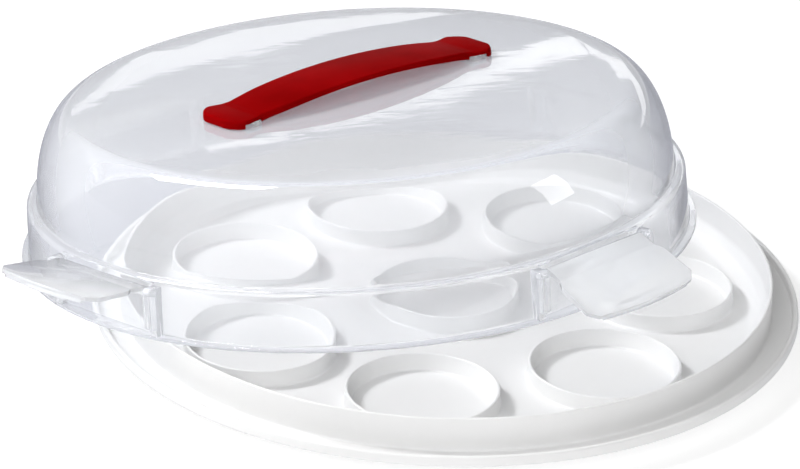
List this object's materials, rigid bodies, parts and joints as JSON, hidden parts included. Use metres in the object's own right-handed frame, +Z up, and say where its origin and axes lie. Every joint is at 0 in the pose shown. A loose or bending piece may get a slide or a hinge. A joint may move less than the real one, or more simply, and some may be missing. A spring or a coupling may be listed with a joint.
{
  "type": "cake carrier",
  "caption": "Round cake carrier: a wide tray with a raised ring wall and round wells, a domed translucent lid set down askew, a strap handle and hinged side latches.",
  "frame": {"origin": "on the surface the tray stands on, under the centre of the tray", "axes": "+Z up out of the tray, +Y away from the side that faces the viewer, +X to the viewer's right"},
  "size_m": [0.3847, 0.3915, 0.1133],
  "materials": {
    "tray_white": "satin",
    "lid_clear": "gloss",
    "latch_clear": "gloss",
    "handle_red": "gloss"
  },
  "bodies": {
    "tray": {"tray": "tray_white"},
    "lid": {"lid": "lid_clear", "handle": "handle_red"},
    "latch_front_right": {"latch_front_right": "latch_clear"},
    "latch_rear_right": {"latch_rear_right": "latch_clear"},
    "latch_rear_left": {"latch_rear_left": "latch_clear"},
    "latch_front_left": {"latch_front_left": "latch_clear"}
  },
  "joints": [
    {"name": "lid_lift", "type": "slide", "parent": "tray", "child": "lid", "axis": [0, 0, 1], "range_m": [0, 0.16]},
    {"name": "latch_front_right_hinge", "type": "hinge", "parent": "lid", "child": "latch_front_right", "pos_m": [0.0679, -0.06332, 0.06546], "axis": [0.716, 0.6981, -0.0072], "range_deg": [-84, 39]},
    {"name": "latch_rear_right_hinge", "type": "hinge", "parent": "lid", "child": "latch_rear_right", "pos_m": [0.07163, 0.16785, 0.04373], "axis": [-0.6933, 0.7098, -0.1251], "range_deg": [-124, 0]},
    {"name": "latch_rear_left_hinge", "type": "hinge", "parent": "lid", "child": "latch_rear_left", "pos_m": [-0.15976, 0.16976, 0.02437], "axis": [-0.716, -0.6981, 0.0072], "range_deg": [-65, 13]},
    {"name": "latch_front_left_hinge", "type": "hinge", "parent": "lid", "child": "latch_front_left", "pos_m": [-0.1635, -0.0614, 0.0461], "axis": [0.6933, -0.7098, 0.1251], "range_deg": [-50, 73]}
  ]
}
